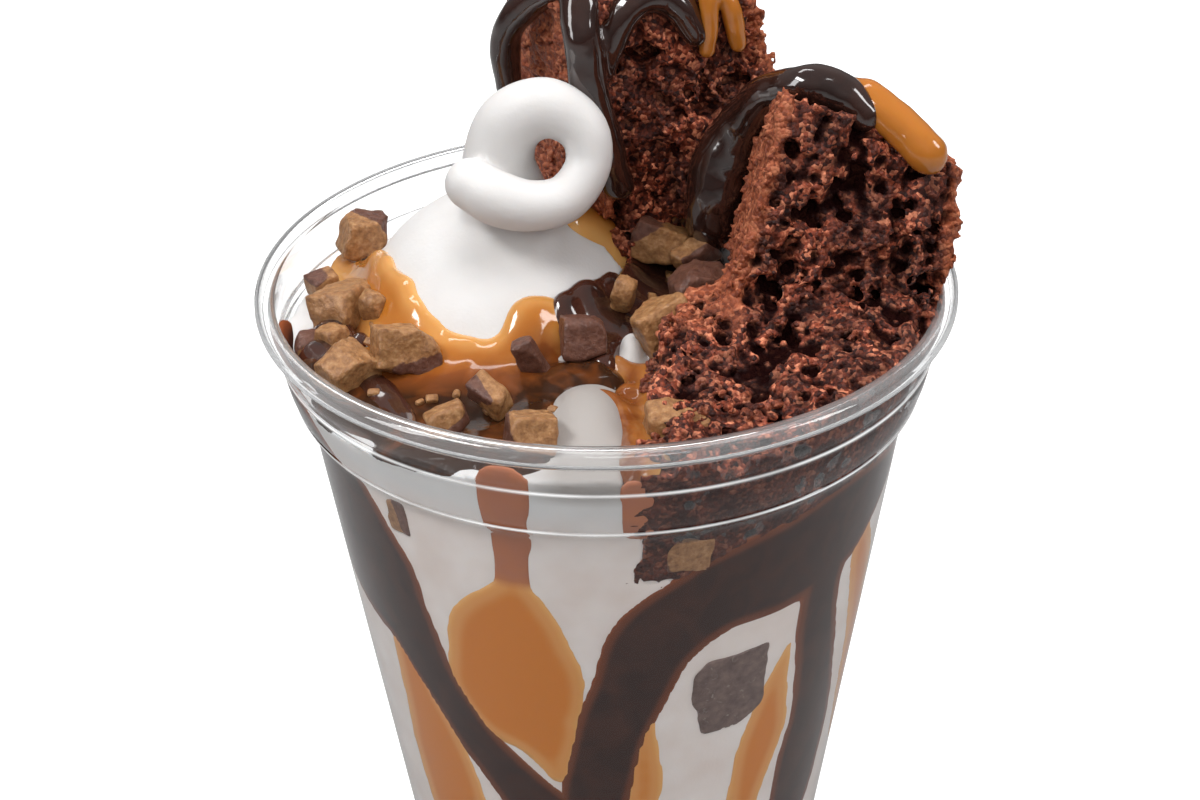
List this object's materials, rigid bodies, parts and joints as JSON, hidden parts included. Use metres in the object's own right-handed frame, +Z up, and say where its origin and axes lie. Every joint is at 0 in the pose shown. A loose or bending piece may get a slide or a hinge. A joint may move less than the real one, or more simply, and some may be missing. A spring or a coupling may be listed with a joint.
{
  "type": "ice cream sundae",
  "caption": "Soft serve sundae with a curled tip in a clear tapered plastic cup, with fudge and caramel streaks, upright brownie pieces and chopped toffee candy.",
  "frame": {"origin": "on the cup's axis, at the foot ring it stands on", "axes": "+Z up along the cup's axis, -Y towards the front, +X to the right as seen from the front"},
  "size_m": [0.098, 0.098, 0.1474],
  "materials": {
    "clear_plastic": "clear, glossy moulded plastic",
    "soft_serve": "smooth white soft serve, slightly moist",
    "brownie": "open dark brown crumb with a thin baked crust",
    "fudge": "dark glossy chocolate sauce",
    "caramel": "glossy translucent caramel sauce",
    "candy": "cut tan toffee centre with a thin milk chocolate coat",
    "chocolate": "broken milk chocolate"
  },
  "bodies": {
    "root": {"cup": "clear_plastic", "fudge_left": "fudge", "fudge_front": "fudge", "fudge_back": "fudge", "fudge_back_left": "fudge", "caramel_left": "caramel", "caramel_blob": "caramel", "caramel_drop": "caramel", "caramel_right": "caramel", "caramel_far_right": "caramel", "caramel_rear": "caramel", "caramel_rear_left": "caramel", "candy_wall_1": "chocolate", "candy_wall_2": "candy", "candy_wall_3": "candy", "candy_01": "candy", "candy_02": "candy", "candy_03": "candy", "candy_04": "candy", "candy_05": "candy", "candy_06": "candy", "candy_07": "candy", "candy_08": "candy", "candy_09": "candy", "candy_10": "candy", "candy_11": "candy", "candy_12": "candy", "candy_13": "candy", "candy_14": "candy", "candy_15": "candy", "candy_16": "candy", "candy_17": "candy", "candy_18": "candy", "candy_19": "candy", "candy_20": "candy", "candy_21": "candy", "brownie_back": "brownie", "brownie_right": "brownie", "soft_serve": "soft_serve", "caramel_pool": "caramel", "fudge_pool": "fudge", "caramel_collar": "caramel", "fudge_run": "fudge", "fudge_drip": "fudge", "caramel_patch": "caramel", "caramel_stream": "caramel", "fudge_valley": "fudge", "caramel_ribbon": "caramel", "fudge_ribbon_left": "fudge", "fudge_ribbon_centre": "fudge", "fudge_ribbon_arc": "fudge", "caramel_drip_a": "caramel", "caramel_drip_b": "caramel"}
  },
  "joints": []
}
